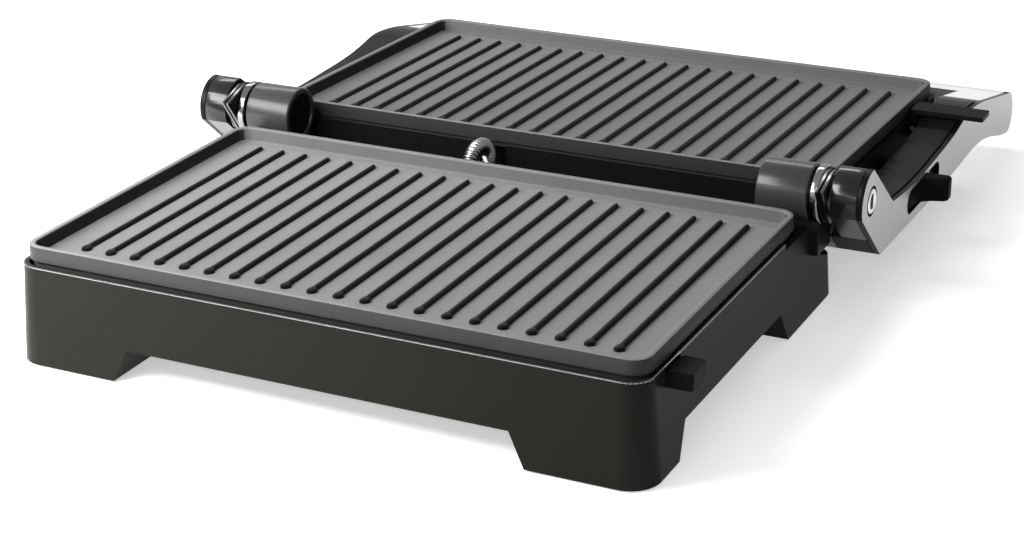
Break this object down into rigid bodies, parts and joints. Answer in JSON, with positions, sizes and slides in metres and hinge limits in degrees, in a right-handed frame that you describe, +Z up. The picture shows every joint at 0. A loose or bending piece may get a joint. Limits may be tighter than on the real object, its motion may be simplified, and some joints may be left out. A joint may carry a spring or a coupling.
{
  "type": "contact grill",
  "caption": "Hinged contact grill opened flat: ribbed lower and upper plates, side arms joined by a handle bar, floating lid and plate releases.",
  "frame": {"origin": "on the table, midway between the furthest left, right, front and back with the grill open", "axes": "+X to the right along the hinge, +Y from the front feet to the handle, +Z up"},
  "size_m": [0.369, 0.4784, 0.0721],
  "materials": {
    "nonstick_plate": "die-cast, dark grey non-stick coating, fine orange peel",
    "black_housing": "satin black moulding",
    "barrel_grey": "satin dark grey",
    "arm_black": "satin black moulding",
    "arm_silver": "satin silver",
    "handle_silver": "satin silver",
    "chrome_trim": "polished",
    "release_black": "satin black",
    "steel": "plain steel",
    "element_steel": "oxidised sheath",
    "reflector_sheet": "bright sheet",
    "ceramic": "matte ceramic",
    "foot_rubber": "matte",
    "hose_steel": "bright corrugated metal"
  },
  "bodies": {
    "base": {"base_shell": "black_housing", "base_bottom_cover": "black_housing", "cord_inlet_bush": "foot_rubber", "base_cover_screws": "steel", "foot_pads": "foot_rubber", "lower_heating_element": "element_steel", "lower_reflector": "reflector_sheet", "lower_element_clips": "steel", "lower_thermostat": "ceramic", "thermal_fuse": "ceramic", "terminal_block": "ceramic", "lower_release_spring": "steel", "release_spring_seat": "steel", "lower_plate_clips": "steel", "conduit_base_ferrule": "steel", "conduit": "hose_steel", "hinge_bracket_left": "black_housing", "hinge_barrel_left": "barrel_grey", "barrel_end_cap_left": "arm_black", "hub_collar_left": "chrome_trim", "hinge_washer_left": "steel", "hinge_screw_left": "chrome_trim", "hinge_bracket_right": "black_housing", "hinge_barrel_right": "barrel_grey", "barrel_end_cap_right": "arm_black", "hub_collar_right": "chrome_trim", "hinge_washer_right": "steel", "hinge_screw_right": "chrome_trim"},
    "arms": {"arm_outer_plate_left": "arm_silver", "arm_outer_plate_right": "arm_silver", "arm_body_left": "arm_black", "arm_body_right": "arm_black", "arm_lug_left": "arm_black", "arm_lug_right": "arm_black", "handle_bar": "handle_silver", "lid_pivot_pin_left": "steel", "lid_pivot_pin_right": "steel", "slider_spring": "steel"},
    "lid": {"lid_housing": "black_housing", "lid_cover": "black_housing", "lid_cover_screws": "steel", "upper_heating_element": "element_steel", "upper_reflector": "reflector_sheet", "upper_element_clips": "steel", "upper_thermostat": "ceramic", "paddle_pin": "steel", "upper_release_spring": "steel", "upper_plate_clips": "steel", "conduit_lid_ferrule": "steel"},
    "lower_plate": {"lower_plate": "nonstick_plate"},
    "upper_plate": {"upper_plate": "nonstick_plate"},
    "lower_release": {"lower_release_lever": "release_black"},
    "upper_release": {"upper_release_paddle": "release_black"},
    "latch_left": {"latch_lever_left": "chrome_trim"},
    "latch_right": {"latch_lever_right": "chrome_trim"},
    "hinge_release": {"hinge_release_slider": "release_black"}
  },
  "joints": [
    {"name": "lid_hinge", "type": "hinge", "parent": "base", "child": "arms", "pos_m": [0, -0.0303, 0.0571], "axis": [-1, 0, 0], "range_deg": [-181.5, 0], "deforming": ["conduit"]},
    {"name": "lid_float", "type": "hinge", "parent": "arms", "child": "lid", "pos_m": [0, 0.07591, 0.03721], "axis": [1, 0, 0], "range_deg": [0, 2], "stiffness_Nm_per_rad": 20, "springref_deg": -2.86, "deforming": ["conduit"]},
    {"name": "lower_plate_lift", "type": "slide", "parent": "base", "child": "lower_plate", "axis": [0, 0, 1], "range_m": [0, 0.06]},
    {"name": "upper_plate_lift", "type": "slide", "parent": "lid", "child": "upper_plate", "axis": [0, 0.0262, 0.9997], "range_m": [0, 0.06]},
    {"name": "lower_release_press", "type": "slide", "parent": "base", "child": "lower_release", "axis": [-1, 0, 0], "range_m": [0, 0.003], "stiffness_N_per_m": 400, "springref_m": -0.003, "deforming": ["lower_release_spring"]},
    {"name": "upper_release_lift", "type": "hinge", "parent": "lid", "child": "upper_release", "pos_m": [0.14805, 0.1274, 0.043], "axis": [0, -1, 0], "range_deg": [0, 6], "stiffness_Nm_per_rad": 0.3, "springref_deg": -8.59, "deforming": ["upper_release_spring"]},
    {"name": "latch_left_turn", "type": "hinge", "parent": "base", "child": "latch_left", "pos_m": [0, -0.0303, 0.0571], "axis": [1, 0, 0], "range_deg": [0, 12], "stiffness_Nm_per_rad": 0.2, "springref_deg": -11.46},
    {"name": "latch_right_turn", "type": "hinge", "parent": "base", "child": "latch_right", "pos_m": [0, -0.0303, 0.0571], "axis": [1, 0, 0], "range_deg": [0, 12], "stiffness_Nm_per_rad": 0.2, "springref_deg": -11.46},
    {"name": "hinge_release_slide", "type": "slide", "parent": "arms", "child": "hinge_release", "axis": [0, 1, 0], "range_m": [0, 0.014], "stiffness_N_per_m": 150, "springref_m": -0.003, "deforming": ["slider_spring"]}
  ]
}
